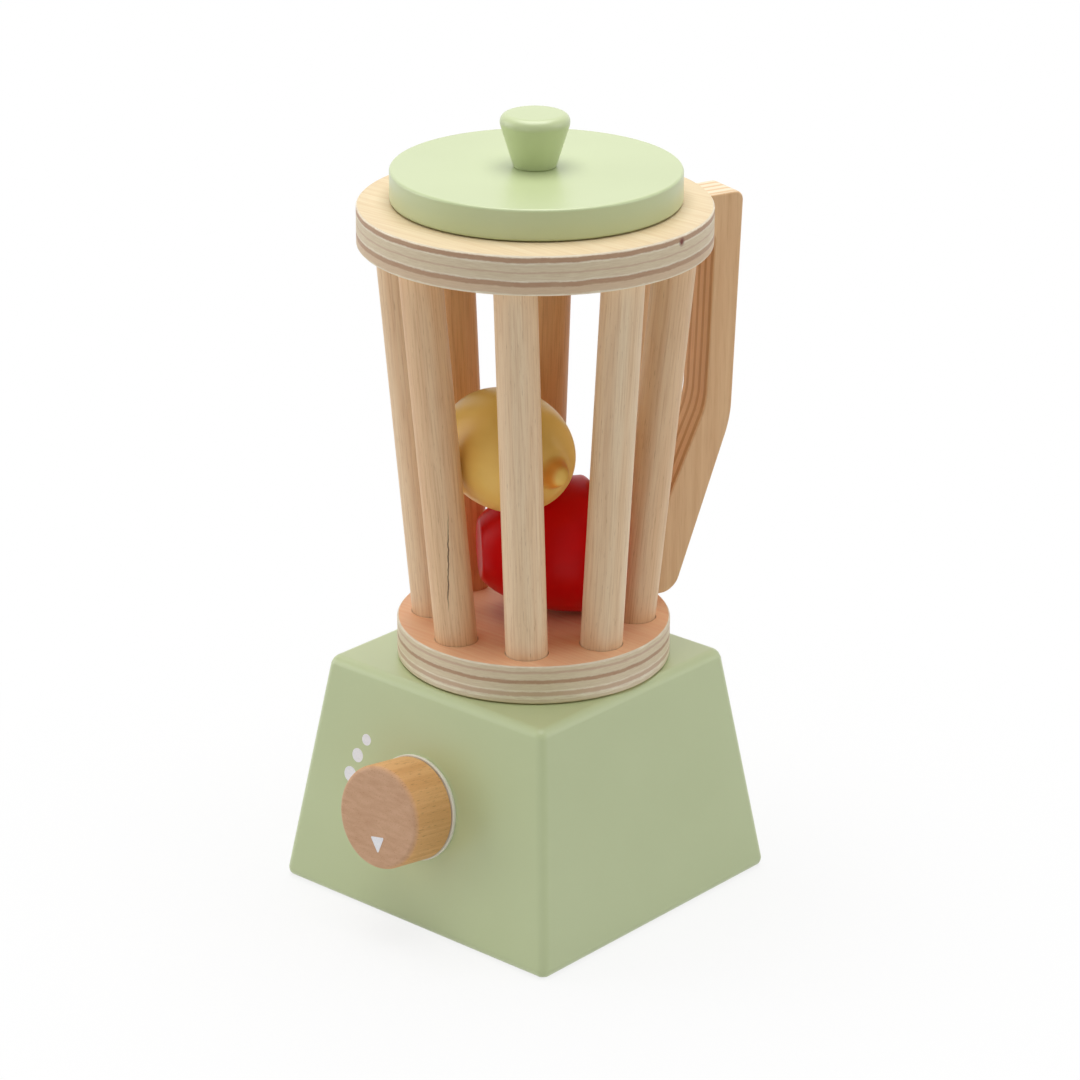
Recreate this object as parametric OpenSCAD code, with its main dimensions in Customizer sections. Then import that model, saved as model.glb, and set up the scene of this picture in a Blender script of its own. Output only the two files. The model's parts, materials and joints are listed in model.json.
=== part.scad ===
// Wooden toy blender: a painted box base with a turning control knob, a lift-off
// jug of eight dowels between two plywood rounds, a lift-off lid and two pieces of
// play fruit. The base's underside is centred on the origin and the knob faces -Y.

/* [Base box] */
// Width of the footprint along the front, before its edges are rounded
base_w = 103.8; // [98:0.2:110]
// Depth of the footprint from front to back, before its edges are rounded
base_depth = 101.8; // [98:0.2:110]
// Distance that each wall leans in from bottom to top
base_taper = 10.4; // [7:0.1:12]
// Height of the box
base_h = 71.2; // [64:0.2:80]
// Radius on the outer edges and corners
base_edge_r = 2.5; // [1.5:0.5:4]
// Thickness of the four walls
wall_t = 9; // [7:0.5:11]
// Thickness of the top panel
top_t = 10; // [8:0.5:12]
// Thickness of the floor panel
floor_t = 8; // [6:0.5:10]
// Height of the glue blocks in the corners
block_h = 16; // [14:1:24]
// Width of the glue blocks
block_w = 14; // [11:0.5:16]

/* [Floor screws] */
// Shank diameter of the floor screws
floor_screw_d = 3; // [2.5:0.1:4]
// Head diameter of the floor screws
floor_screw_head_d = 6; // [5.4:0.2:8]
// Length of the floor screws
floor_screw_l = 18; // [14:1:20]

/* [Control knob] */
// Diameter of the control knob
knob_d = 30.4; // [24:0.2:34]
// Length of the control knob along its axis
knob_l = 15; // [13:0.5:22]
// Radius on the knob's front edge
knob_edge_r = 1.6; // [0.8:0.2:2.6]
// Distance from the front's lower edge up its slope to the knob's axis
knob_up = 36.5; // [33:0.1:43]
// Distance of the knob's axis to the left of the front's middle
knob_aside = 2.1; // [0:0.1:3]
// Diameter of the washer behind the knob
knob_washer_d = 31.2; // [26:0.2:36]
// Thickness of the washer behind the knob
knob_washer_t = 1.2; // [0.8:0.1:2]
// Diameter of the bolt that the knob turns on
bolt_d = 5; // [4:0.5:6]
// Depth of the bolt in the knob
bolt_grip = 11; // [8:0.5:12]
// Width of the lock nut across its flats
nut_w = 8; // [8:0.5:10]
// Thickness of the lock nut
nut_t = 5; // [4:0.5:6]
// Diameter of the steel washer under the nut
nut_washer_d = 12; // [10:0.5:15]
// Thickness of the steel washer under the nut
nut_washer_t = 1; // [0.8:0.1:1.5]
// Length of bolt that stands out of the nut
bolt_tail = 2; // [1:0.5:4]

/* [Jug] */
// Distance of the jug's axis behind the base's centre
jug_back = 2.1; // [0:0.1:4]
// Distance of the jug's axis to the right of the base's centre
jug_aside = 0.9; // [0:0.1:3]
// Height from the underside of the disc to the top of the ring
jug_h = 136.6; // [120:0.2:155]
// Diameter of the jug's bottom disc
disc_d = 80; // [78:0.5:84]
// Thickness of the jug's bottom disc
disc_t = 11.5; // [10.5:0.5:14]
// Outer diameter of the jug's top ring
ring_d = 101; // [98:0.5:108]
// Thickness of the jug's top ring
ring_t = 11.3; // [10:0.1:14]
// Diameter of the ring's opening
ring_bore_d = 64; // [60:0.5:66]
// Chamfer on the disc's and ring's edges
round_chamfer = 0.4; // [0.2:0.1:0.8]
// Diameter of the peg that locates the jug on the base
peg_d = 30; // [24:1:34]
// Length of peg below the disc
peg_drop = 7; // [5:0.5:8]
// Depth of the peg in the disc
peg_sink = 4; // [3:0.5:4.5]

/* [Dowels] */
// Diameter of the eight dowels
dowel_d = 12.2; // [10:0.1:12.6]
// Distance of the dowels' centres from the disc's rim, on top of the disc
dowel_foot_in = 10.4; // [9:0.1:11]
// Distance of the dowels' centres from the ring's rim, at its underside
dowel_head_in = 10.3; // [9:0.1:12]
// Depth of each dowel in the disc and in the ring
dowel_sink = 6.5; // [5:0.5:7]
// Angle of the first dowel's foot from +X
dowel_turn = 37.5; // [35:0.1:40]
// Angle that each dowel's head stands back round the jug from its foot
jug_twist = 3.9; // [0:0.1:5]

/* [Handle] */
// Angle of the handle from +X
handle_turn = 72; // [70:0.5:75]
// Thickness of the handle board
handle_t = 13; // [12:0.5:15]
// Distance of the handle's top below the ring's top
handle_drop = 4.3; // [2:0.1:5]
// Distance of the handle's outer edge from the ring's rim
handle_reach = 15.8; // [13:0.2:20]
// Height of the arm that meets the ring
handle_arm_h = 10.5; // [9:0.5:14]
// Width of the upright grip
grip_w = 9.2; // [8:0.2:12]
// Distance that the outer edge comes in between its top and its bend
grip_lean = 2.7; // [1:0.1:4]
// Height of the outer bend above the disc
bend_up = 51.4; // [44:0.2:60]
// Height of the inner bend above the outer one
bend_rise = 5.7; // [4:0.1:8]
// Height up to which the foot lies along a dowel
foot_up = 19.2; // [14:0.2:24]
// Width of the foot on the disc
foot_w = 9.4; // [7:0.2:11]
// Diameter of the pin between the handle and the ring
pin_d = 3; // [2:0.5:3]
// Length of the pin
pin_l = 20; // [14:1:24]

/* [Lid] */
// Diameter of the lid
lid_d = 83; // [80:0.5:90]
// Thickness of the lid
lid_t = 9.1; // [7:0.1:12]
// Radius on the lid's edges
lid_edge_r = 0.8; // [0.4:0.1:1.5]
// Thickness of the plug under the lid
plug_t = 5; // [4:0.5:8]
// Play of the plug all round in the ring's opening
plug_play = 3.5; // [2:0.1:4]
// Height of the lid's knob
lid_knob_h = 15.4; // [12:0.2:20]
// Diameter of the lid knob's foot
lid_knob_foot_d = 12.2; // [11:0.2:15]
// Diameter that the lid knob's sides reach before its top edge is rounded
lid_knob_head_d = 21.7; // [20:0.1:26]
// Radius on the lid knob's top edge
lid_knob_roll_r = 2.65; // [1.5:0.05:3.5]
// Shank diameter of the lid screw
lid_screw_d = 3.5; // [3:0.1:4.5]
// Head diameter of the lid screw
lid_screw_head_d = 7; // [6:0.2:8.4]
// Distance of the lid's screw and knob from the lid's centre
lid_screw_off = 1.4; // [0:0.1:2]
// Depth of the lid screw in the knob
lid_screw_grip = 10; // [7:0.5:11]

/* [Strawberry] */
// Greatest diameter of the strawberry
berry_d = 40; // [34:0.2:40]
// Diameter of the strawberry's blunt tip
berry_tip_d = 17; // [14:0.2:22]
// Distance that its sides would run on to a point, from its widest part
berry_taper = 34.2; // [28:0.2:36]
// Depth of its rounded crown behind the widest part
berry_crown = 6.4; // [5:0.2:10]

/* [Lemon] */
// Diameter of the lemon
lemon_d = 35; // [31:0.2:36]
// Length of the lemon's body without its nubs
lemon_l = 46; // [40:0.5:47]
// Height of the lemon's large nub
nub_l = 4; // [2:0.2:4.4]
// Height of the lemon's small nub
stem_l = 2; // [1:0.2:3]

/* [Hidden] */
$fn = 96;
hull_fn = 32;
arc_steps = 8;
eps = 0.01;

// Clearances
glue_gap = 0.1;      // between glued or screwed pieces
seat_gap = 0.3;      // between pieces that rest on each other and come apart
turn_gap = 0.06;     // round the bolt in its bore
dowel_gap = 0.2;     // round each dowel in its hole
peg_gap = 0.5;       // round the peg in the top panel
end_gap = 0.3;       // past the end of a piece in a blind hole
foot_gap = 0.3;      // between the handle's foot and its dowel
web_t = 0.8;         // wood left between the pin's hole and a dowel's
edge_break = 0.4;    // rounding of turned edges that have no radius of their own

// Colours
paint_green = [0.67, 0.72, 0.55];
plywood = [0.85, 0.77, 0.64];
birch = [0.80, 0.71, 0.57];
beech = [0.73, 0.56, 0.43];
tan_board = [0.71, 0.57, 0.42];
raw_board = [0.62, 0.50, 0.38];
white_plastic = [0.90, 0.89, 0.84];
steel = [0.62, 0.63, 0.65];
lemon_yellow = [0.84, 0.69, 0.33];
berry_red = [0.62, 0.05, 0.06];

// Base box
lean = atan(base_taper / base_h);
reach = 2 * max(base_w, base_depth);
inner_w = base_w - 2 * wall_t / cos(lean);
inner_depth = base_depth - 2 * wall_t / cos(lean);
wall_h = base_h - top_t;
block_in = (floor_t + block_h) * tan(lean) + block_w / 2;
screw_x = inner_w / 2 - block_in;
screw_y = inner_depth / 2 - block_in;
screw_head_h = (floor_screw_head_d - floor_screw_d) / 2;
screw_sunk = 0.4;

// Control knob, along its axis from the front face
knob_z = knob_washer_t + seat_gap;
nut_washer_z = -wall_t - seat_gap - nut_washer_t;
nut_z = nut_washer_z - nut_t;
bolt_low = nut_z - bolt_tail;

// Jug
jug_z = base_h + seat_gap;
disc_top = jug_z + disc_t;
ring_top = jug_z + jug_h;
ring_low = ring_top - ring_t;
dowel_count = 8;
dowel_foot_r = disc_d / 2 - dowel_foot_in;
dowel_head_r = ring_d / 2 - dowel_head_in;
dowel_span = ring_low - disc_top;
dowel_run = [dowel_head_r * cos(jug_twist) - dowel_foot_r, -dowel_head_r * sin(jug_twist)];
dowel_tilt = atan(norm(dowel_run) / dowel_span);
dowel_bearing = atan2(dowel_run.y, dowel_run.x);  // way that a dowel leans, from the radius
dowel_l = dowel_span / cos(dowel_tilt) + 2 * dowel_sink;
peg_chamfer = 1;

// Handle, in the plane of its board: [distance from the jug's axis, height]
near_dowel = 1;
near_turn = dowel_turn + near_dowel * 360 / dowel_count - handle_turn;  // at the dowel's foot
handle_top = ring_top - handle_drop;
grip_out_top = ring_d / 2 + handle_reach;
grip_out_bend = grip_out_top - grip_lean;
bend_z = disc_top + bend_up;
grip_slope = grip_lean / (handle_top - bend_z);
foot_in = dowel_foot_r * cos(near_turn) + dowel_d / 2 / cos(dowel_tilt) + foot_gap;
nest_in = foot_in + foot_up * tan(dowel_tilt);
grip_in_bend = grip_out_bend - grip_w + bend_rise * grip_slope;
grip_in_top = grip_out_top - grip_w - handle_arm_h * grip_slope;
arm_low = handle_top - handle_arm_h;
pin_z = (ring_low + handle_top) / 2;
pin_side = dowel_head_r * sin(near_turn - jug_twist) - dowel_d / 2 - dowel_gap - web_t - pin_d / 2;
corner_r = 3;        // handle's outer top corner
outer_bend_r = 30;
inner_bend_r = 19;
heel_r = 6;          // handle's outer lower corner
nest_r = 10;         // where the slanted arm meets the dowel's line
finger_r = 4;        // inner corner under the arm

// Lid
lid_z = ring_top + seat_gap;
plug_d = ring_bore_d - 2 * plug_play;
lid_shift = plug_play - seat_gap;
lid_shift_turn = 126;
screw_off_turn = 150;  // way that the screw stands off the lid's centre, from +X
lid_head_h = (lid_screw_head_d - lid_screw_d) / 2;

// Fruit, lying as in the photographed toy
berry_r = berry_d / 2;
inside_r = dowel_foot_r - dowel_d / 2;
berry_turn = 228.5;  // way that the tip points, from +X
berry_dip = 1;       // its tip lies lower than its crown
berry_lean = 59;     // way that the strawberry has rolled, from +X
berry_press = 11.7;  // it lies between two dowels, this far past their feet's inner circle
berry_off = inside_r - berry_r + berry_press;
berry_z = disc_top + seat_gap + berry_r;
berry_tip_edge_r = 2;
berry_crown_from = 26;  // where the flat crown ends, as an angle round the outline
berry_tip_to = 180 - asin(berry_tip_d / berry_d);
berry_steps = 24;
nub_spread = 13;     // angle from the pole at which the large nub has died away
stem_spread = 10;    // the same for the small nub
lemon_turn = -12;    // way that the large nub points, from +X
lemon_rise = -1;
lemon_lean = 261.6;  // way that the lemon leans, from +X
lemon_off = 10.2;
lemon_nestle = 4.4;  // how much lower than on top of it the lemon lies by the strawberry
lemon_z = berry_z + berry_r + lemon_d / 2 - lemon_nestle;
lemon_steps = 48;

// Points of an arc of radius r that rounds the corner c between points p and n
function corner(p, c, n, r) =
    let (a = (p - c) / norm(p - c),
         b = (n - c) / norm(n - c),
         half = acos(a * b) / 2,
         centre = c + (a + b) / norm(a + b) * r / sin(half),
         s = c + a * r / tan(half) - centre,
         e = c + b * r / tan(half) - centre,
         from = atan2(s.y, s.x),
         sweep = (atan2(e.y, e.x) - from + 540) % 360 - 180)
    r == 0 ? [c] :
    [for (i = [0 : arc_steps])
        centre + r * [cos(from + sweep * i / arc_steps), sin(from + sweep * i / arc_steps)]];

// Outline with each corner [x, y, r] rounded to its own radius r
function rounded(pts) =
    let (n = len(pts), at = [for (p = pts) [p.x, p.y]])
    [for (i = [0 : n - 1])
        each corner(at[(i + n - 1) % n], at[i], at[(i + 1) % n], pts[i][2])];

// Solid turned round +Z from an outline of rounded corners
module turned(pts) {
    rotate_extrude() polygon(rounded(pts));
}

// Plain round with the same chamfer on both outer edges
module round_board(d, t) {
    turned([[0, 0, 0], [d / 2 - round_chamfer, 0, 0], [d / 2, round_chamfer, 0],
            [d / 2, t - round_chamfer, 0], [d / 2 - round_chamfer, t, 0], [0, t, 0]]);
}

// Countersunk screw standing on its head at z = 0
module screw(d, head_d, l) {
    head_h = (head_d - d) / 2;
    cylinder(d1 = head_d, d2 = d, h = head_h);
    cylinder(d = d, h = l);
}

// ---- Base box ----

// Outline of the box seen level, from half its width at the bottom
function trapezium(half) =
    let (top = half - base_h * tan(lean)) [[-half, 0], [half, 0], [top, base_h], [-top, base_h]];

// Outer form of the box with its rounded edges
module base_form() {
    hull()
        for (x = [-1, 1], y = [-1, 1], z = [base_edge_r, base_h - base_edge_r]) {
            in = z * tan(lean) + base_edge_r / cos(lean);
            translate([x * (base_w / 2 - in), y * (base_depth / 2 - in), z])
                sphere(r = base_edge_r, $fn = hull_fn);
        }
}

// Four-sided box form with sharp edges, used for what fits inside the walls
module inner_form(gap) {
    intersection() {
        rotate([90, 0, 0]) linear_extrude(reach, center = true) polygon(trapezium(inner_w / 2 - gap));
        rotate([90, 0, 90]) linear_extrude(reach, center = true) polygon(trapezium(inner_depth / 2 - gap));
    }
}

// Everything outside the inner face of the wall that faces -Y before it is turned
module wall_zone(turn) {
    across = turn % 180 == 0 ? base_depth : base_w;
    rotate([0, 0, turn]) on_face(across) translate([-reach / 2, -reach / 2, -wall_t])
        cube([reach, 2 * reach, reach]);
}

module height_zone(low, high) {
    translate([-reach / 2, -reach / 2, low]) cube([reach, reach, high - low]);
}

// Moves its children to the sloping face of a box that is so far across: origin on the
// lower edge, +Y up the slope, +Z out of the face
module on_face(across) {
    translate([0, -across / 2, 0]) rotate([90 - lean, 0, 0]) children();
}

// Moves its children to the knob's axis on the front face
module at_knob() {
    on_face(base_depth) translate([-knob_aside, knob_up, 0]) children();
}

// Moves its children to the four floor screws
module at_floor_screws() {
    for (x = [-1, 1], y = [-1, 1])
        translate([x * screw_x, y * screw_y, 0]) children();
}

// Front or back wall, as wide as the box
module wide_wall(turn) {
    intersection() {
        base_form();
        height_zone(0, wall_h);
        wall_zone(turn);
    }
}

// Side wall, held between the front and back walls
module narrow_wall(turn) {
    difference() {
        wide_wall(turn);
        wall_zone(0);
        wall_zone(180);
    }
}

module base_front() {
    color(paint_green) difference() {
        wide_wall(0);
        at_knob() translate([0, 0, -2 * wall_t]) cylinder(d = bolt_d + 2 * turn_gap, h = 4 * wall_t);
    }
}

module base_back() {
    color(paint_green) wide_wall(180);
}

module base_left() {
    color(paint_green) narrow_wall(270);
}

module base_right() {
    color(paint_green) narrow_wall(90);
}

module base_top() {
    color(paint_green) difference() {
        intersection() {
            base_form();
            height_zone(wall_h, 2 * base_h);
        }
        at_jug(0) cylinder(d = peg_d + 2 * peg_gap, h = 2 * base_h);
    }
}

module base_floor() {
    color(raw_board) difference() {
        intersection() {
            inner_form(glue_gap);
            height_zone(0, floor_t);
        }
        at_floor_screws() {
            translate([0, 0, -eps]) cylinder(d = floor_screw_d + 2 * glue_gap, h = floor_t + 2 * eps);
            translate([0, 0, -eps]) cylinder(d = floor_screw_head_d + 2 * glue_gap, h = screw_sunk + eps);
            translate([0, 0, screw_sunk])
                cylinder(d1 = floor_screw_head_d + 2 * glue_gap, d2 = floor_screw_d + 2 * glue_gap,
                         h = screw_head_h);
        }
    }
}

module corner_blocks() {
    color(raw_board) difference() {
        intersection() {
            inner_form(glue_gap);
            at_floor_screws() translate([-block_w / 2, -block_w / 2, floor_t])
                cube([block_w, block_w, block_h]);
        }
        at_floor_screws()
            cylinder(d = floor_screw_d + 2 * glue_gap, h = floor_screw_l + screw_sunk + end_gap);
    }
}

module floor_screws() {
    color(steel) at_floor_screws() translate([0, 0, screw_sunk])
        screw(floor_screw_d, floor_screw_head_d, floor_screw_l);
}

// ---- Control knob ----

module knob() {
    color(beech) at_knob() translate([0, 0, knob_z]) difference() {
        turned([[0, 0, 0], [knob_d / 2, 0, edge_break], [knob_d / 2, knob_l, knob_edge_r], [0, knob_l, 0]]);
        translate([0, 0, -eps]) cylinder(d = bolt_d + 2 * glue_gap, h = bolt_grip + end_gap);
    }
}

module knob_washer() {
    color(white_plastic) at_knob() difference() {
        cylinder(d = knob_washer_d, h = knob_washer_t);
        translate([0, 0, -eps]) cylinder(d = bolt_d + 2 * seat_gap, h = knob_washer_t + 2 * eps);
    }
}

module knob_bolt() {
    color(steel) at_knob() translate([0, 0, bolt_low])
        cylinder(d = bolt_d, h = knob_z + bolt_grip - bolt_low);
}

module nut_washer() {
    color(steel) at_knob() translate([0, 0, nut_washer_z]) difference() {
        cylinder(d = nut_washer_d, h = nut_washer_t);
        translate([0, 0, -eps]) cylinder(d = bolt_d + 2 * glue_gap, h = nut_washer_t + 2 * eps);
    }
}

module lock_nut() {
    color(steel) at_knob() translate([0, 0, nut_z]) difference() {
        cylinder(d = nut_w / cos(30), h = nut_t, $fn = 6);
        translate([0, 0, -eps]) cylinder(d = bolt_d + 2 * glue_gap, h = nut_t + 2 * eps);
    }
}

// ---- Jug ----

// Moves its children to the jug's axis at a height
module at_jug(z) {
    translate([jug_aside, jug_back, z]) children();
}

// Moves its children to the foot of dowel i, +Z along the dowel
module at_dowel(i) {
    at_jug(disc_top) rotate([0, 0, dowel_turn + i * 360 / dowel_count])
        translate([dowel_foot_r, 0, 0]) rotate([0, 0, dowel_bearing]) rotate([0, dowel_tilt, 0]) children();
}

module dowel(i) {
    color(birch) at_dowel(i) translate([0, 0, -dowel_sink]) cylinder(d = dowel_d, h = dowel_l);
}

module dowel_holes() {
    for (i = [0 : dowel_count - 1])
        at_dowel(i) translate([0, 0, -dowel_sink - end_gap])
            cylinder(d = dowel_d + 2 * dowel_gap, h = dowel_l + 2 * end_gap);
}

module jug_disc() {
    color(plywood) difference() {
        at_jug(jug_z) round_board(disc_d, disc_t);
        dowel_holes();
        at_jug(jug_z - eps) cylinder(d = peg_d + 2 * glue_gap, h = peg_sink + glue_gap + eps);
    }
}

module jug_peg() {
    color(birch) at_jug(jug_z - peg_drop)
        turned([[0, 0, 0], [peg_d / 2 - peg_chamfer, 0, 0], [peg_d / 2, peg_chamfer, 0],
                [peg_d / 2, peg_drop + peg_sink, 0], [0, peg_drop + peg_sink, 0]]);
}

module jug_ring() {
    color(plywood) difference() {
        at_jug(ring_low) round_board(ring_d, ring_t);
        at_jug(ring_low - eps) cylinder(d = ring_bore_d, h = ring_t + 2 * eps);
        dowel_holes();
        at_pin() cylinder(d = pin_d + 2 * glue_gap, h = pin_l + 2 * end_gap, center = true);
    }
}

// Moves its children to the middle of the handle's pin, +Z out of the ring
module at_pin() {
    at_jug(pin_z) rotate([0, 0, handle_turn])
        translate([ring_d / 2, pin_side, 0]) rotate([0, 90, 0]) children();
}

module handle() {
    outline = rounded([
        [0, handle_top, 0],
        [grip_out_top, handle_top, corner_r],
        [grip_out_bend, bend_z, outer_bend_r],
        [foot_in + foot_w, disc_top + glue_gap, heel_r],
        [foot_in, disc_top + glue_gap, 0],
        [nest_in, disc_top + foot_up, nest_r],
        [grip_in_bend, bend_z + bend_rise, inner_bend_r],
        [grip_in_top, arm_low, finger_r],
        [0, arm_low, 0]]);
    color(tan_board) difference() {
        at_jug(0) rotate([0, 0, handle_turn]) rotate([90, 0, 0])
            linear_extrude(handle_t, center = true) polygon(outline);
        at_jug(arm_low - eps)
            cylinder(d = ring_d + 2 * glue_gap, h = handle_arm_h + 2 * eps);
        at_pin() cylinder(d = pin_d + 2 * glue_gap, h = pin_l + 2 * end_gap, center = true);
    }
}

module handle_pin() {
    color(birch) at_pin() cylinder(d = pin_d, h = pin_l, center = true);
}

// ---- Lid ----

// Moves its children to the lid's axis at the lid's underside; the lid lies pushed to
// one side in the plug's play
module at_lid() {
    at_jug(lid_z) translate(lid_shift * [cos(lid_shift_turn), sin(lid_shift_turn)]) children();
}

// Moves its children from the lid's axis to its screw's
module at_lid_screw(z) {
    translate([lid_screw_off * cos(screw_off_turn), lid_screw_off * sin(screw_off_turn), z]) children();
}

module lid_screw_hole() {
    cylinder(d = lid_screw_d + 2 * glue_gap, h = plug_t + lid_t + lid_screw_grip + end_gap);
}

module lid() {
    color(paint_green) at_lid() difference() {
        turned([[0, 0, 0], [lid_d / 2, 0, lid_edge_r], [lid_d / 2, lid_t, lid_edge_r], [0, lid_t, 0]]);
        at_lid_screw(-plug_t) lid_screw_hole();
    }
}

module lid_plug() {
    color(paint_green) at_lid() translate([0, 0, -plug_t]) difference() {
        round_board(plug_d, plug_t);
        at_lid_screw(-eps) {
            lid_screw_hole();
            cylinder(d1 = lid_screw_head_d + 2 * (glue_gap + eps), d2 = lid_screw_d + 2 * glue_gap,
                     h = lid_head_h + 2 * eps);
        }
    }
}

module lid_knob() {
    color(paint_green) at_lid() at_lid_screw(lid_t) difference() {
        turned([[0, 0, 0], [lid_knob_foot_d / 2, 0, edge_break],
                [lid_knob_head_d / 2, lid_knob_h, lid_knob_roll_r], [0, lid_knob_h, 0]]);
        translate([0, 0, -eps]) cylinder(d = lid_screw_d + 2 * glue_gap, h = lid_screw_grip + end_gap);
    }
}

module lid_screw() {
    color(steel) at_lid() at_lid_screw(-plug_t)
        screw(lid_screw_d, lid_screw_head_d, plug_t + lid_t + lid_screw_grip);
}

// ---- Fruit ----

// Half an ellipse on each side of the widest part, cut flat at the crown and at the tip
module strawberry() {
    sides = [for (i = [0 : berry_steps])
        let (t = berry_crown_from + (berry_tip_to - berry_crown_from) * i / berry_steps)
        [berry_r * sin(t), -(t < 90 ? berry_crown : berry_taper) * cos(t),
         i == berry_steps ? berry_tip_edge_r : 0]];
    color(berry_red)
        at_jug(berry_z) translate(berry_off * [cos(berry_lean), sin(berry_lean)])
        rotate([0, 0, berry_turn]) rotate([0, 90 + berry_dip, 0])
            turned([[0, sides[0].y, 0], each sides, [0, sides[berry_steps].y, 0]]);
}

// The nubs are bumps along the axis that die away from the poles
module lemon() {
    outline = [for (i = [0 : lemon_steps])
        let (t = 180 * i / lemon_steps,
             nub = nub_l * exp(-pow(t / nub_spread, 3)),
             stem = stem_l * exp(-pow((180 - t) / stem_spread, 2)))
        [i == lemon_steps ? 0 : lemon_d / 2 * sin(t), lemon_l / 2 * cos(t) + nub - stem]];
    color(lemon_yellow)
        at_jug(lemon_z) translate(lemon_off * [cos(lemon_lean), sin(lemon_lean)])
        rotate([0, 0, lemon_turn]) rotate([0, 90 - lemon_rise, 0]) rotate_extrude() polygon(outline);
}

base_front();
base_back();
base_left();
base_right();
base_top();
base_floor();
corner_blocks();
floor_screws();
knob();
knob_washer();
knob_bolt();
nut_washer();
lock_nut();
jug_peg();
jug_disc();
dowel(0);  // dowel_1
dowel(1);  // dowel_2
dowel(2);  // dowel_3
dowel(3);  // dowel_4
dowel(4);  // dowel_5
dowel(5);  // dowel_6
dowel(6);  // dowel_7
dowel(7);  // dowel_8
jug_ring();
handle();
handle_pin();
lid();
lid_plug();
lid_knob();
lid_screw();
strawberry();
lemon();
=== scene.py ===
import json
import math

import bmesh
import bpy
from mathutils import Matrix, Vector


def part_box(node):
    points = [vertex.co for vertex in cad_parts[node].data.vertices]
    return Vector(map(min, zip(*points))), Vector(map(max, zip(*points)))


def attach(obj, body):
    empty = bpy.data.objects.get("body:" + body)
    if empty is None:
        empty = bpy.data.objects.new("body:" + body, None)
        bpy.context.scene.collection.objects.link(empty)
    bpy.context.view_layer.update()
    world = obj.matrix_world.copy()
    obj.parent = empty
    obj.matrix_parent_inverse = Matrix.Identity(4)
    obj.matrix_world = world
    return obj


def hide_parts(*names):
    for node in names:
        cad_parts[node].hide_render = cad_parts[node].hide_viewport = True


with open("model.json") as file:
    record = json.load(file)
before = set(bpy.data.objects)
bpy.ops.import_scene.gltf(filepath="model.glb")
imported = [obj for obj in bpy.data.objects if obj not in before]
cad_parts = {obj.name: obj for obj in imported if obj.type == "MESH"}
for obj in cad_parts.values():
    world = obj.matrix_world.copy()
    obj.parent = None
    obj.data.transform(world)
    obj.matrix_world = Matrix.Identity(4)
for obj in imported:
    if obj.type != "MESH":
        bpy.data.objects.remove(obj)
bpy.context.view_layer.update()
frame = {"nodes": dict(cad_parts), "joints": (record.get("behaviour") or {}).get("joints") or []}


# ---- Base walls ----
# Four boards leaning in a little, butt-jointed at the corners and glued. All edges are
# sanded round and the whole box is sprayed with satin sage green paint, which hides the joints.

MM = 0.001
UP = Vector((0, 0, 1))
quarter = math.pi / 2
base_w = 103.8 * MM
base_depth = 101.8 * MM
base_taper = 10.4 * MM
base_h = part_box("base_top")[1].z
wall_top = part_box("base_top")[0].z
wall_t = 9 * MM
base_edge_r = 2.7 * MM
corner_sandings = 5
base_lean = math.atan(base_taper / base_h)
bolt_hole_r = 2.56 * MM
knob_hinge = next(joint for joint in frame["joints"] if joint["name"] == "knob_turn")
crisp_from = math.radians(32)


def box_form():
    """The whole box as one block with rounded edges and more rounded corners."""
    form = bmesh.new()
    bmesh.ops.create_cube(form, size=1.0)
    for vert in form.verts:
        drawn_in = 0.0 if vert.co.z < 0 else base_taper
        height = 0.0 if vert.co.z < 0 else base_h
        vert.co = Vector((math.copysign(base_w / 2 - drawn_in, vert.co.x),
                          math.copysign(base_depth / 2 - drawn_in, vert.co.y), height))
    bmesh.ops.bevel(form, geom=form.edges[:], offset=base_edge_r, offset_type="OFFSET", segments=8,
                    profile=0.5, affect="EDGES", material=-1)
    on_corners = [vert for vert in form.verts
                  if all(edge.calc_length() < base_edge_r for edge in vert.link_edges)]
    for _ in range(corner_sandings):
        bmesh.ops.smooth_vert(form, verts=on_corners, factor=0.5,
                              use_axis_x=True, use_axis_y=True, use_axis_z=True)
    return form


def saw(form, point, normal):
    """Saws off what lies on the normal's side of a plane and closes the cut."""
    everything = form.verts[:] + form.edges[:] + form.faces[:]
    cut = bmesh.ops.bisect_plane(form, geom=everything, plane_co=point, plane_no=normal, clear_outer=True)
    rim = [part for part in cut["geom_cut"] if isinstance(part, bmesh.types.BMEdge)]
    bmesh.ops.holes_fill(form, edges=rim, sides=0)


def wall_face(turn, depth):
    """A point and the outward normal of a wall's plane, depth in from its outer face."""
    normal = Vector((0, -math.cos(base_lean), math.sin(base_lean)))
    across = base_depth if round(turn / quarter) % 2 == 0 else base_w
    point = Vector((0, -across / 2, 0)) - normal * depth
    round_box = Matrix.Rotation(turn, 3, "Z")
    return round_box @ point, round_box @ normal


def mesh_from(form, name):
    mesh = bpy.data.meshes.new(name)
    form.normal_update()
    form.to_mesh(mesh)
    form.free()
    return mesh


def drilled(mesh, drill):
    """The mesh with the drill's solid form taken away."""
    board = bpy.data.objects.new("board", mesh)
    bit = bpy.data.objects.new("bit", mesh_from(drill, "bit"))
    for part in (board, bit):
        bpy.context.scene.collection.objects.link(part)
    hole = board.modifiers.new("hole", "BOOLEAN")
    hole.object = bit
    hole.solver = "EXACT"
    bpy.context.view_layer.update()
    cut = bpy.data.meshes.new_from_object(board.evaluated_get(bpy.context.evaluated_depsgraph_get()))
    for part in (board, bit):
        bpy.data.objects.remove(part)
    return cut


def rod(drill, radius, length, place, steps=64):
    """Adds a closed round rod to a form, centred on place and lying along its Z axis."""
    bmesh.ops.create_cone(drill, cap_ends=True, segments=steps, radius1=radius, radius2=radius,
                          depth=length, matrix=place)


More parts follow.
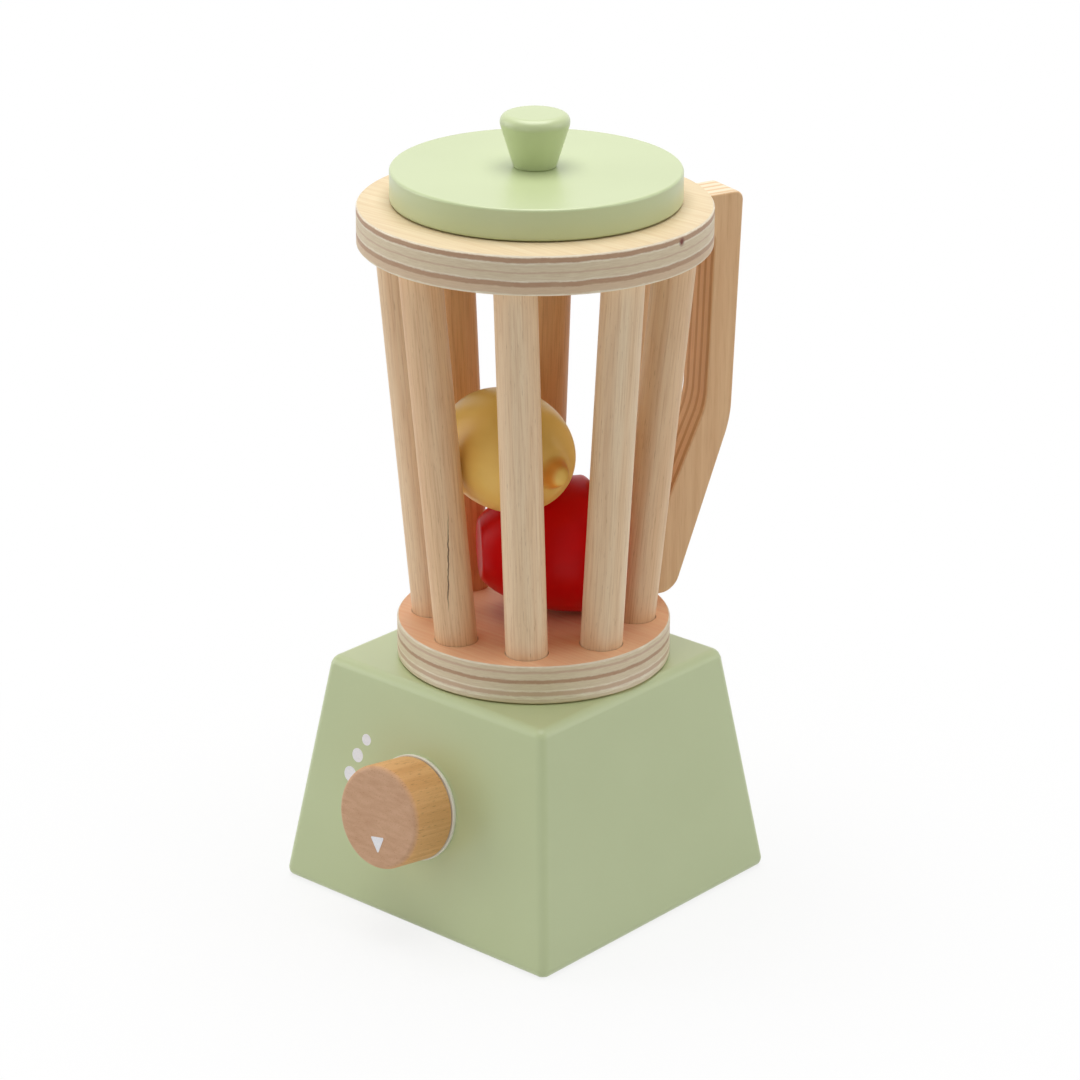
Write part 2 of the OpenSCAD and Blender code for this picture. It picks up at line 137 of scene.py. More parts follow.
def finish(name, mesh, paint, body, replaced=()):
    """Makes a mesh into a finished piece that rides on a body and stands for CAD nodes."""
    mesh.name = name
    piece = bpy.data.objects.new(name, mesh)
    bpy.context.scene.collection.objects.link(piece)
    mesh.materials.clear()
    mesh.materials.append(paint)
    mesh.polygons.foreach_set("use_smooth", [True] * len(mesh.polygons))
    mesh.set_sharp_from_angle(angle=crisp_from)
    piece.modifiers.new("flat faces", "WEIGHTED_NORMAL").keep_sharp = True
    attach(piece, body)
    if replaced:
        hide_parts(*replaced)


def tone(red, green, blue):
    """A colour from a paint chart, 0 to 255, as the shader's linear colour."""
    def linear(level):
        level /= 255
        return level / 12.92 if level <= 0.04045 else ((level + 0.055) / 1.055) ** 2.4
    return (linear(red), linear(green), linear(blue), 1.0)


def new_finish(name, roughness, specular=0.5):
    """A new material, its node tree and its shader."""
    made = bpy.data.materials.new(name)
    made.use_nodes = True
    shader = made.node_tree.nodes["Principled BSDF"]
    shader.inputs["Roughness"].default_value = roughness
    shader.inputs["Specular IOR Level"].default_value = specular
    return made, made.node_tree, shader


def step(tree, kind, inputs, **settings):
    """One node; inputs gives each socket a number or another node's output."""
    made = tree.nodes.new("ShaderNode" + kind)
    for key, value in settings.items():
        setattr(made, key, value)
    for key, value in inputs.items():
        if isinstance(value, bpy.types.NodeSocket):
            tree.links.new(value, made.inputs[key])
        else:
            made.inputs[key].default_value = value
    return made


def own_axes(tree, place):
    """Places on the piece, measured along the piece's own axes."""
    seen = step(tree, "TexCoord", {})
    return step(tree, "Mapping", {"Vector": seen.outputs["Object"], "Location": place.to_translation(),
                                  "Rotation": place.to_euler()}, vector_type="TEXTURE").outputs[0]


def speckle(tree, where, size, detail=2.0, start=0.0):
    """Noise in blobs of a given size; size may be one length or three."""
    sizes = size if isinstance(size, tuple) else (size, size, size)
    scaled = step(tree, "Mapping", {"Vector": where, "Location": (start, start, start),
                                    "Scale": tuple(1 / length for length in sizes)})
    return step(tree, "TexNoise", {"Vector": scaled.outputs[0], "Scale": 1.0, "Detail": detail}).outputs[0]


def levels(tree, value, low, high, out_low=0.0, out_high=1.0):
    """value, stretched so that low to high becomes out_low to out_high, and held at those ends."""
    return step(tree, "MapRange", {"Value": value, "From Min": low, "From Max": high,
                                   "To Min": out_low, "To Max": out_high}).outputs[0]


def maths(tree, operation, first, *others):
    """One operation on a single value, or on the first value and each of the others in turn."""
    result = first
    if not others:
        result = step(tree, "Math", {0: first}, operation=operation).outputs[0]
    for value in others:
        result = step(tree, "Math", {0: result, 1: value}, operation=operation).outputs[0]
    return result


def mixed(tree, share, first, second):
    """first, turning into second as share goes from 0 to 1."""
    return step(tree, "Mix", {0: share, 6: first, 7: second}, data_type="RGBA").outputs[2]


def relief(tree, shader, height, depth):
    """Raises the surface by up to depth where height is 1."""
    bump = step(tree, "Bump", {"Strength": 1.0, "Distance": depth, "Height": height})
    tree.links.new(bump.outputs[0], shader.inputs["Normal"])


def sage_paint():
    made, tree, shader = new_finish("sage_paint", roughness=0.42)
    shader.inputs["Coat Weight"].default_value = 0.65
    shader.inputs["Coat Roughness"].default_value = 0.32
    where = own_axes(tree, Matrix())
    cloud = levels(tree, speckle(tree, where, 38 * MM), 0.3, 0.7)
    film = mixed(tree, cloud, tone(194, 206, 155), tone(198, 210, 160))
    dust = levels(tree, speckle(tree, where, 0.35 * MM), 0.62, 0.78, 0.0, 0.12)
    tree.links.new(mixed(tree, dust, film, tone(224, 229, 194)), shader.inputs["Base Color"])
    relief(tree, shader, speckle(tree, where, 0.9 * MM, detail=3.0), 0.012 * MM)
    return made


sage = sage_paint()

for name, turn, wide in (("base_front", 0, True), ("base_right", quarter, False),
                         ("base_back", 2 * quarter, True), ("base_left", 3 * quarter, False)):
    wall = box_form()
    saw(wall, Vector((0, 0, wall_top)), UP)
    point, normal = wall_face(turn, wall_t)
    saw(wall, point, -normal)
    if not wide:
        for side in (turn - quarter, turn + quarter):
            saw(wall, *wall_face(side, wall_t))
    mesh = mesh_from(wall, name)
    if name == "base_front":
        bore = bmesh.new()
        along_bolt = Vector(knob_hinge["axis"]).to_track_quat("Z", "Y").to_matrix().to_4x4()
        rod(bore, bolt_hole_r, 4 * wall_t, Matrix.Translation(knob_hinge["pos_m"]) @ along_bolt)
        mesh = drilled(mesh, bore)
    finish(name.replace("base_", "wall_"), mesh, sage, "base", [name])


# ---- Top panel ----
# A thicker board glued over the four walls, rounded and painted with them. The hole in it
# takes the jug's peg, so that the jug stands in place and lifts straight off.

jug_aside = 0.9 * MM
jug_back = 2.1 * MM
jug_axis = Matrix.Translation((jug_aside, jug_back, 0))
peg_hole_r = 15.5 * MM

panel = box_form()
saw(panel, Vector((0, 0, wall_top)), -UP)
bore = bmesh.new()
rod(bore, peg_hole_r, 2 * base_h, jug_axis @ Matrix.Translation((0, 0, base_h)), steps=128)
finish("top_panel", drilled(mesh_from(panel, "top_panel"), bore), sage, "base", ["base_top"])


# ---- Floor panel, corner blocks and their screws ----
# A bare fibreboard floor lies inside the walls, against four softwood blocks glued into the
# corners, and a countersunk zinc-plated screw goes up into each block. They keep their CAD shapes.


def raw_board():
    made, tree, shader = new_finish("raw_board", roughness=0.85, specular=0.2)
    where = own_axes(tree, Matrix())
    fibres = levels(tree, speckle(tree, where, (1.6 * MM, 0.5 * MM, 0.5 * MM), detail=4.0), 0.3, 0.7)
    tree.links.new(mixed(tree, fibres, tone(150, 122, 92), tone(182, 154, 120)), shader.inputs["Base Color"])
    relief(tree, shader, fibres, 0.05 * MM)
    return made


def plated_steel():
    made, tree, shader = new_finish("plated_steel", roughness=0.34)
    shader.inputs["Metallic"].default_value = 1.0
    where = own_axes(tree, Matrix())
    bloom = levels(tree, speckle(tree, where, 2 * MM, detail=4.0), 0.3, 0.7)
    tree.links.new(mixed(tree, bloom, tone(186, 190, 194), tone(208, 211, 214)), shader.inputs["Base Color"])
    relief(tree, shader, speckle(tree, where, (0.1 * MM, 0.1 * MM, 1.5 * MM)), 0.01 * MM)
    return made


def wear(material, *names):
    """Gives CAD nodes that keep their shape a better material."""
    for name in names:
        materials = frame["nodes"][name].data.materials
        materials.clear()
        materials.append(material)


steel = plated_steel()
wear(raw_board(), "base_floor", "corner_blocks")
wear(steel, "floor_screws")


# ---- Printed dots ----
# Three pale grey dots that grow round the knob's left side, pad-printed on the front wall as
# a plain sign for the speed steps.

print_film = 0.05 * MM
dot_places = ((-23.75 * MM, 50.7 * MM), (-26.65 * MM, 45.1 * MM), (-28.85 * MM, 38.6 * MM))
dot_sizes = (3.5 * MM, 4.25 * MM, 4.75 * MM)
front_foot = Matrix.Translation(wall_face(0, 0)[0])
out_of_front = Matrix.Rotation(quarter - base_lean, 4, "X")


def pad_print():
    made, tree, shader = new_finish("pad_print", roughness=0.5)
    where = own_axes(tree, Matrix())
    thin = levels(tree, speckle(tree, where, 0.5 * MM, detail=4.0), 0.35, 0.75)
    tree.links.new(mixed(tree, thin, tone(252, 252, 255), tone(240, 241, 246)), shader.inputs["Base Color"])
    return made


white_print = pad_print()

dots = bmesh.new()
for (across, up), size in zip(dot_places, dot_sizes):
    on_front = front_foot @ out_of_front @ Matrix.Translation((across, up, 0))
    rod(dots, size / 2, print_film, on_front, steps=40)
finish("dial_dots", mesh_from(dots, "dial_dots"), white_print, "base")


# ---- Knob washer ----
# A flat moulded washer, white, that stays on the front wall behind the wooden knob and lets it
# turn without rubbing the paint. Its rim shows as a thin ring.

# From here on a size written without MM is in millimetres, as in the outlines of turned
# pieces.
washer_r = 15.6
washer_hole_r = 2.8
washer_t = 1.2
washer_edge_r = 0.3


def turned(name, outline, place, closed=False, steps=128):
    """A lathe-turned mesh. outline gives corners (radius, height, rounding) in mm, from the
    axis back to the axis, or round a closed section."""
    form = bmesh.new()
    corners = [form.verts.new((radius * MM, 0, height * MM)) for radius, height, _ in outline]
    following = corners[1:] + ([corners[0]] if closed else [])
    for start, end in zip(corners, following):
        form.edges.new((start, end))
    for vert, (_, _, rounding) in zip(corners, outline):
        if rounding:
            round_corner(form, vert, rounding * MM)
    bmesh.ops.spin(form, geom=form.verts[:] + form.edges[:], cent=(0, 0, 0), axis=(0, 0, 1),
                   angle=2 * math.pi, steps=steps, use_merge=True)
    bmesh.ops.remove_doubles(form, verts=form.verts[:], dist=0.001 * MM)
    bmesh.ops.recalc_face_normals(form, faces=form.faces[:])
    bmesh.ops.transform(form, matrix=place, verts=form.verts[:])
    return mesh_from(form, name)


def round_corner(form, vert, radius, steps=7):
    """Rounds a corner of an outline to a radius."""
    first, second = ((edge.other_vert(vert).co - vert.co) for edge in vert.link_edges)
    reach = radius / math.tan(first.angle(second) / 2)
    bmesh.ops.bevel(form, geom=[vert], offset=reach, offset_type="OFFSET", segments=steps, profile=0.5,
                    affect="VERTICES", material=-1)


def moulded_white():
    made, tree, shader = new_finish("moulded_white", roughness=0.4)
    where = own_axes(tree, Matrix())
    haze = levels(tree, speckle(tree, where, 6 * MM), 0.3, 0.7)
    tree.links.new(mixed(tree, haze, tone(232, 228, 212), tone(240, 237, 224)), shader.inputs["Base Color"])
    relief(tree, shader, speckle(tree, where, 0.3 * MM), 0.005 * MM)
    return made


knob_place = Matrix.Translation(knob_hinge["pos_m"]) @ out_of_front
washer_outline = [(washer_hole_r, 0, 0), (washer_r, 0, washer_edge_r),
                  (washer_r, washer_t, washer_edge_r), (washer_hole_r, washer_t, 0)]
finish("knob_ring", turned("knob_ring", washer_outline, knob_place, closed=True), moulded_white(),
       "base", ["knob_washer"])


# ---- Control knob ----
# Turned from solid beech with the grain along its axis, so that its face is end grain and its
# side shows short dark flecks. Sanded, not lacquered, and glued and screwed onto its bolt.

knob_r = 15.2
knob_l = 15.0
knob_edge_r = 1.6
knob_bore_r = 2.6
knob_bore_l = 11.3
knob_gap = 0.3
edge_break = 0.4


def beech(place):
    made, tree, shader = new_finish("beech", roughness=0.55, specular=0.35)
    where = own_axes(tree, place)
    height = step(tree, "SeparateXYZ", {0: where}).outputs[2]
    face = levels(tree, height, (knob_l - 1.3) * MM, (knob_l - 0.1) * MM)
    bands = levels(tree, speckle(tree, where, (5 * MM, 1.2 * MM, 60 * MM), detail=3.0), 0.35, 0.65)
    side = mixed(tree, bands, tone(226, 169, 110), tone(240, 187, 128))
    end = mixed(tree, bands, tone(204, 160, 126), tone(214, 172, 138))
    wood = mixed(tree, face, side, end)
    rays = speckle(tree, where, (0.35 * MM, 0.35 * MM, 2.6 * MM), start=3.0)
    flecks = levels(tree, rays, 0.6, 0.7, 0, 0.55)
    pores = levels(tree, speckle(tree, where, 0.25 * MM), 0.5, 0.75, 0.0, 0.4)
    wood = mixed(tree, flecks, wood, tone(176, 122, 72))
    tree.links.new(mixed(tree, pores, wood, tone(204, 156, 116)), shader.inputs["Base Color"])
    relief(tree, shader, flecks, -0.03 * MM)
    return made


at_knob = knob_place @ Matrix.Translation((0, 0, (washer_t + knob_gap) * MM))
knob_outline = [(0, knob_bore_l, 0), (knob_bore_r, knob_bore_l, 0), (knob_bore_r, 0, 0),
                (knob_r, 0, edge_break), (knob_r, knob_l, knob_edge_r), (0, knob_l, 0)]
finish("control_knob_wood", turned("control_knob_wood", knob_outline, at_knob), beech(at_knob),
       "control_knob", ["knob"])


# ---- Pointer mark ----
# A small triangle with soft corners, printed in white ink near the edge of the knob's face. It
# turns with the knob and shows which way the knob is set.

pointer_base = 5.2 * MM
pointer_h = 4.9 * MM
pointer_corner_r = 0.35 * MM
pointer_turn = math.radians(10.6)
pointer_out = 8.15 * MM
pointer_aside = 0.44 * MM


def thicken(form, by):
    """Draws a flat form out into a solid, along a vector."""
    drawn = bmesh.ops.extrude_face_region(form, geom=form.faces[:])
    bmesh.ops.translate(form, vec=by,
                        verts=[part for part in drawn["geom"] if isinstance(part, bmesh.types.BMVert)])
    bmesh.ops.recalc_face_normals(form, faces=form.faces[:])


pointer = bmesh.new()
corners = [pointer.verts.new(corner) for corner in ((-pointer_base / 2, pointer_h / 2, 0),
                                                    (0, -pointer_h / 2, 0),
                                                    (pointer_base / 2, pointer_h / 2, 0))]
pointer.faces.new(corners)
for vert in corners:
    round_corner(pointer, vert, pointer_corner_r, steps=4)
thicken(pointer, (0, 0, print_film))
on_face = (at_knob @ Matrix.Rotation(pointer_turn, 4, "Z")
           @ Matrix.Translation((-pointer_aside, -pointer_out, knob_l * MM)))
bmesh.ops.transform(pointer, matrix=on_face, verts=pointer.verts[:])
finish("pointer_mark", mesh_from(pointer, "pointer_mark"), white_print, "control_knob")


# ---- Knob bolt, its washer and lock nut ----
# Zinc-plated steel. The bolt is glued into the knob, runs through the front wall and turns in
# it; the nut inside the box keeps it there. They keep their CAD shapes.

wear(steel, "knob_bolt", "nut_washer", "lock_nut")


# ---- Jug's bottom disc ----
# Birch plywood, sawn round and sanded, with eight slanted blind holes for the dowels and a
# shallow one underneath for the peg. Its edge shows the plies.

disc_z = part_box("jug_disc")[0].z
disc_t = 11.5
disc_r = 40.0
disc_top = disc_z + disc_t * MM
peg_sink = 4.1
peg_sink_r = 15.1
round_chamfer = 0.4
chamfer_edge_r = 0.3
ring_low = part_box("jug_ring")[0].z
dowel_count = 8
dowel_step = 2 * math.pi / dowel_count
dowel_r = 6.1
dowel_foot_r = 29.6
dowel_head_r = 40.2
dowel_turn = math.radians(37.5)
jug_twist = math.radians(3.9)
dowel_span = (ring_low - disc_top) / MM
dowel_run = Vector((dowel_head_r * math.cos(jug_twist) - dowel_foot_r, -dowel_head_r * math.sin(jug_twist)))
dowel_bearing = math.atan2(dowel_run.y, dowel_run.x)
dowel_tilt = math.atan(dowel_run.length / dowel_span)
dowel_sink = 6.5
dowel_gap = 0.2
end_gap = 0.3
dowel_l = dowel_span / math.cos(dowel_tilt) + 2 * dowel_sink


def at_jug(height):
    return jug_axis @ Matrix.Translation((0, 0, height))


def at_dowel(index):
    """Places the foot of a dowel on top of the disc, with its Z axis along the dowel."""
    round_jug = Matrix.Rotation(dowel_turn + index * dowel_step, 4, "Z")
    foot = at_jug(disc_top) @ round_jug @ Matrix.Translation((dowel_foot_r * MM, 0, 0))
    return foot @ Matrix.Rotation(dowel_bearing, 4, "Z") @ Matrix.Rotation(dowel_tilt, 4, "Y")


def dowel_holes():
    holes = bmesh.new()
    for index in range(dowel_count):
        middle = at_dowel(index) @ Matrix.Translation((0, 0, (dowel_l / 2 - dowel_sink) * MM))
        rod(holes, (dowel_r + dowel_gap) * MM, (dowel_l + 2 * end_gap) * MM, middle)
    return holes


def plywood(name, low, layers, veneers, start, knot=(0, 0, 0)):
    """Plywood whose edge shows layers (thickness in mm, colour) from the bottom up and, where it
    is given a place, one dark knot, and whose flat sides show a veneer in two colours."""
    made, tree, shader = new_finish(name, roughness=0.5, specular=0.4)
    where = own_axes(tree, at_jug(low))
    height = step(tree, "SeparateXYZ", {0: where}).outputs[2]
    waves = speckle(tree, where, (14 * MM, 14 * MM, 40 * MM), start=start)
    saw_marks = speckle(tree, where, (1.2 * MM, 1.2 * MM, 0.6 * MM), start=start)
    wander = levels(tree, waves, 0, 1, -0.5 * MM, 0.5 * MM)
    rough = levels(tree, saw_marks, 0, 1, -0.2 * MM, 0.2 * MM)
    total = sum(thick for thick, _ in layers)
    share = maths(tree, "MULTIPLY", maths(tree, "ADD", height, wander, rough), 1 / (total * MM))
    ramp = step(tree, "ValToRGB", {0: share})
    stops = ramp.color_ramp.elements
    blend = 0.18
    bottom = 0.0
    for index, (thick, colour) in enumerate(layers):
        places = [(bottom + blend) / total, (bottom + thick - blend) / total]
        bottom += thick
        for place in places:
            stop = stops[0] if place is places[0] and index == 0 else stops.new(place)
            stop.position = place
            stop.color = colour
    stops.remove(stops[-1])
    threads = speckle(tree, where, (3.5 * MM, 3.5 * MM, 0.22 * MM), detail=4.0, start=start)
    fibres = levels(tree, threads, 0.3, 0.7)
    edge = mixed(tree, fibres, ramp.outputs[0], tone(204, 176, 142))
    edge = mixed(tree, 0.5, edge, ramp.outputs[0])
    from_knot = step(tree, "VectorMath", {0: where, 1: Vector(knot) * MM},
                     operation="DISTANCE").outputs["Value"]
    in_knot = levels(tree, from_knot, 1.5 * MM, 0.5 * MM)
    edge = mixed(tree, in_knot, edge, tone(120, 56, 40))
    grain = speckle(tree, where, (26 * MM, 1.1 * MM, 5 * MM), detail=5.0, start=start)
    streaks = levels(tree, grain, 0.3, 0.7)
    flat_side = mixed(tree, streaks, veneers[0], veneers[1])
    facing = step(tree, "SeparateXYZ", {0: step(tree, "NewGeometry", {}).outputs["Normal"]}).outputs[2]
    flatness = levels(tree, maths(tree, "ABSOLUTE", facing), 0.75, 0.95)
    tree.links.new(mixed(tree, flatness, edge, flat_side), shader.inputs["Base Color"])
    relief(tree, shader, fibres, 0.03 * MM)
    return made


cream = tone(248, 238, 214)
pale = tone(232, 217, 186)
tan = tone(226, 200, 168)
dusk = tone(214, 184, 156)
brown = tone(184, 144, 114)
disc_layers = [(1.4, pale), (1.0, cream), (1.3, dusk), (0.5, cream), (2.0, pale), (1.1, brown),
               (2.0, pale), (0.7, dusk), (1.1, pale), (0.4, cream)]
disc_outline = [(0, peg_sink, 0), (peg_sink_r, peg_sink, 0), (peg_sink_r, 0, 0),
                (disc_r - round_chamfer, 0, 0), (disc_r, round_chamfer, chamfer_edge_r),
                (disc_r, disc_t - round_chamfer, chamfer_edge_r), (disc_r - round_chamfer, disc_t, 0),
                (0, disc_t, 0)]
disc_mesh = turned("disc", disc_outline, at_jug(disc_z), steps=160)
disc_board = plywood("disc_plywood", disc_z, disc_layers, (tone(244, 186, 142), tone(250, 204, 162)),
                     start=1.0)
finish("bottom_disc", drilled(disc_mesh, dowel_holes()), disc_board, "jug", ["jug_disc"])


# ---- Jug peg ----
# A short birch plug glued into the disc's underside; it drops into the base's hole. It keeps
# its CAD shape.


def fine_split(tree, where):
    """1 in a fine split that starts near a dowel's foot and winds up it a little, else 0. Its
    angles and widths are in radians round the dowel."""
    opens = (11 * MM, 18 * MM)
    closes = (44 * MM, 34 * MM)
    angles = (-0.80, -0.69)
    turn_per_metre = 14.65
    half_widths = (0.012, 0.04)
    across, back, along = step(tree, "SeparateXYZ", {0: where}).outputs
    angle = maths(tree, "ARCTAN2", back, across)
    wobble = levels(tree, speckle(tree, where, 2.5 * MM), 0, 1, *angles)
    drift = maths(tree, "MULTIPLY", along, -turn_per_metre)
    aside = maths(tree, "ABSOLUTE", maths(tree, "ADD", angle, wobble, drift))
    return maths(tree, "MULTIPLY", levels(tree, aside, *half_widths, 1, 0),
                 levels(tree, along, *opens), levels(tree, along, *closes))


def birch(name, place, start, warmth_and_shade, split=False):
    """Sanded birch with its grain along the piece's Z axis, from pale to warm, with fine darker
    streaks and, where asked for, a fine split. On the dowels at the back the warm, darker end also stands
    for painted shade."""
    made, tree, shader = new_finish(name, roughness=0.5, specular=0.4)
    where = own_axes(tree, place)

    def shade(pale_side, warm_side):
        return Vector(pale_side).lerp(Vector(warm_side), warmth_and_shade)

    broad = levels(tree, speckle(tree, where, (3.2 * MM, 3.2 * MM, 90 * MM), start=start), 0.3, 0.7)
    threads = speckle(tree, where, (0.42 * MM, 0.42 * MM, 16 * MM), detail=4.0, start=start)
    fine = levels(tree, threads, 0.46, 0.7, 0, 0.65)
    dashes = speckle(tree, where, (0.3 * MM, 0.3 * MM, 4 * MM), start=start + 5)
    ticks = levels(tree, dashes, 0.64, 0.74, 0, 0.4)
    wood = mixed(tree, broad, shade(tone(240, 210, 172), tone(228, 172, 118)),
                 shade(tone(250, 228, 194), tone(238, 190, 136)))
    wood = mixed(tree, fine, wood, shade(tone(222, 186, 146), tone(204, 148, 98)))
    wood = mixed(tree, ticks, wood, tone(170, 124, 82))
    if split:
        wood = mixed(tree, fine_split(tree, where), wood, tone(92, 62, 40))
    tree.links.new(wood, shader.inputs["Base Color"])
    relief(tree, shader, fine, -0.02 * MM)
    return made


peg_birch = birch("peg_birch", Matrix(), start=9.0, warmth_and_shade=0.0)
wear(peg_birch, "jug_peg")


# ---- Dowels ----
# Eight 12 mm birch dowels, glued into the disc and into the ring and leaning outwards. Each is
# cut from another rod, so their tones differ; the ones at the back are also painted warmer and darker
# as painted shade, and the one at the front left has a fine split.

# The back dowels' warmer, darker tones are partly real variation and partly painted shade.
dowel_warmth_and_shade = (0.35, 0.7, 1.0, 1.0, 0.25, 0.5, 0.15, 0.1)
split_dowel = 6

dowel_outline = [(0, 0, 0), (dowel_r, 0, edge_break), (dowel_r, dowel_l, edge_break), (0, dowel_l, 0)]
for index, warmth_and_shade in enumerate(dowel_warmth_and_shade):
    number = index + 1
    place = at_dowel(index)
    stick = turned("dowel", dowel_outline, place @ Matrix.Translation((0, 0, -dowel_sink * MM)), steps=64)
    wood = birch(f"birch_{number}", place, 2.3 * index + 1, warmth_and_shade, split=number == split_dowel)
    finish(f"dowel_stick_{number}", stick, wood, "jug", [f"dowel_{number}"])


# ---- Jug's top ring ----
# A wider ring of the same plywood. The dowels end in blind holes in its underside, the handle
# is pinned to its rim, and the lid's plug drops into its opening.

ring_t = 11.3
ring_r = 50.5
ring_bore_r = 32.0
bore_low_edge_r = 0.2
bore_top_edge_r = 0.3
ring_knot = (50.4, 3.6, 9.4)
ring_layers = [(0.6, cream), (2.0, tan), (1.4, brown), (0.5, cream), (1.9, pale), (0.4, dusk),
               (2.1, pale), (0.5, cream), (1.4, brown), (0.5, cream)]
ring_outline = [(ring_bore_r, 0, bore_low_edge_r), (ring_r - round_chamfer, 0, 0),
                (ring_r, round_chamfer, chamfer_edge_r), (ring_r, ring_t - round_chamfer, chamfer_edge_r),
                (ring_r - round_chamfer, ring_t, 0), (ring_bore_r, ring_t, bore_top_edge_r)]
ring_mesh = turned("ring", ring_outline, at_jug(ring_low), closed=True, steps=192)
ring_board = plywood("ring_plywood", ring_low, ring_layers, (tone(224, 198, 158), tone(235, 216, 182)),
                     start=4.0, knot=ring_knot)
finish("top_ring", drilled(ring_mesh, dowel_holes()), ring_board, "jug", ["jug_ring"])


# ---- Handle ----
# Sawn from 13 mm tan plywood with the grain upright, its edges sanded. The arm butts against
# the ring's rim, where a glued birch pin holds it, and the foot stands on the disc by a dowel.

handle_turn = math.radians(72)
handle_t = 13.0
handle_edge_r = 0.7
handle_reach = 15.8
handle_arm_h = 10.5
arm_spare = 8.0
grip_w = 9.2
grip_lean = 2.7
bend_up = 51.4
bend_rise = 5.7
foot_up = 19.2
foot_w = 9.4
foot_gap = 0.3
glue_gap = 0.1
corner_r = 3
outer_bend_r = 30
inner_bend_r = 19
heel_r = 6
nest_r = 10
finger_r = 4

handle_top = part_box("handle")[1].z / MM
handle_low = disc_top / MM + glue_gap
arm_low = handle_top - handle_arm_h
out_top = ring_r + handle_reach
out_bend = out_top - grip_lean
bend_z = disc_top / MM + bend_up
grip_slope = grip_lean / (handle_top - bend_z)
near_turn = dowel_turn + dowel_step - handle_turn
foot_in = dowel_foot_r * math.cos(near_turn) + dowel_r / math.cos(dowel_tilt) + foot_gap
nest_in = foot_in + foot_up * math.tan(dowel_tilt)
in_bend = out_bend - grip_w + bend_rise * grip_slope
in_top = out_top - grip_w - handle_arm_h * grip_slope


def handle_board(place):
    made, tree, shader = new_finish("handle_board", roughness=0.55, specular=0.35)
    two_plies = 3.1 * MM
    where = own_axes(tree, place)
    grain = levels(tree, speckle(tree, where, (2.2 * MM, 3 * MM, 60 * MM), detail=5.0), 0.3, 0.7)
    threads = speckle(tree, where, (0.4 * MM, 0.4 * MM, 9 * MM), detail=3.0, start=2.0)
    fine = levels(tree, threads, 0.5, 0.75, 0, 0.35)
    face = mixed(tree, grain, tone(226, 181, 134), tone(238, 198, 151))
    face = mixed(tree, fine, face, tone(206, 156, 108))
    wander = levels(tree, speckle(tree, where, 30 * MM, start=7.0), 0, 1, -0.4 * MM, 0.4 * MM)
    depth = maths(tree, "ADD", step(tree, "SeparateXYZ", {0: where}).outputs[1], wander)
    waves = maths(tree, "SINE", maths(tree, "MULTIPLY", depth, 2 * math.pi / two_plies))
    dark_plies = levels(tree, waves, 0.1, 0.6)
    edge = mixed(tree, dark_plies, tone(244, 202, 152), tone(214, 164, 112))
    edge = mixed(tree, fine, edge, tone(198, 148, 100))
    normal = step(tree, "NewGeometry", {}).outputs["Normal"]
    # Edges that face up are painted paler: painted light from above.
    painted_top_light = levels(tree, step(tree, "SeparateXYZ", {0: normal}).outputs[2], 0.6, 0.9)
    edge = mixed(tree, painted_top_light, edge, mixed(tree, dark_plies, tone(246, 228, 200), tone(230, 196, 154)))
    own_normal = step(tree, "VectorTransform", {0: normal},
                      vector_type="NORMAL", convert_from="WORLD", convert_to="OBJECT").outputs[0]
    across = place.to_3x3() @ Vector((0, 1, 0))
    facing = step(tree, "VectorMath", {0: own_normal, 1: across}, operation="DOT_PRODUCT").outputs["Value"]
    flatness = levels(tree, maths(tree, "ABSOLUTE", facing), 0.7, 0.9)
    tree.links.new(mixed(tree, flatness, edge, face), shader.inputs["Base Color"])
    relief(tree, shader, fine, -0.03 * MM)
    return made


handle_place = jug_axis @ Matrix.Rotation(handle_turn, 4, "Z")
handle_outline = [(ring_r - arm_spare, handle_top, 0), (out_top, handle_top, corner_r),
                  (out_bend, bend_z, outer_bend_r), (foot_in + foot_w, handle_low, heel_r),
                  (foot_in, handle_low, 0), (nest_in, disc_top / MM + foot_up, nest_r),
                  (in_bend, bend_z + bend_rise, inner_bend_r), (in_top, arm_low, finger_r),
                  (ring_r - arm_spare, arm_low, 0)]
board = bmesh.new()
corners = [board.verts.new((out * MM, handle_t / 2 * MM, up * MM)) for out, up, _ in handle_outline]
board.faces.new(corners)
for vert, (_, _, rounding) in zip(corners, handle_outline):
    if rounding:
        round_corner(board, vert, rounding * MM, steps=10)
thicken(board, (0, -handle_t * MM, 0))
rims = [edge for edge in board.edges
        if abs(edge.calc_face_angle()) > 1 and abs(edge.verts[0].co.y - edge.verts[1].co.y) < MM]
bmesh.ops.bevel(board, geom=rims, offset=handle_edge_r * MM, offset_type="OFFSET", segments=3, profile=0.5,
                affect="EDGES", material=-1)
bmesh.ops.transform(board, matrix=handle_place, verts=board.verts[:])
rim_cut = bmesh.new()
rod(rim_cut, (ring_r + glue_gap) * MM, 2 * handle_arm_h * MM, at_jug(handle_top * MM), steps=192)
finish("side_handle", drilled(mesh_from(board, "side_handle"), rim_cut), handle_board(handle_place),
       "jug", ["handle"])
wear(peg_birch, "handle_pin")


# ---- Lid ----
# A painted round board, its edges broken with sandpaper, with a smaller round glued under it
# that keeps it in the ring's opening. One screw from below holds both and the knob.

lid_low, lid_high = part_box("lid")
lid_centre = (lid_low + lid_high) / 2
lid_t = 9.1
lid_r = 41.5
lid_edge_r = 0.8
plug_t = 5.0
plug_r = 28.5
screw_hole_r = 1.85
screw_head_r = 3.6
screw_head_h = 1.75
screw_off = 1.4 * MM
screw_off_turn = math.radians(150)

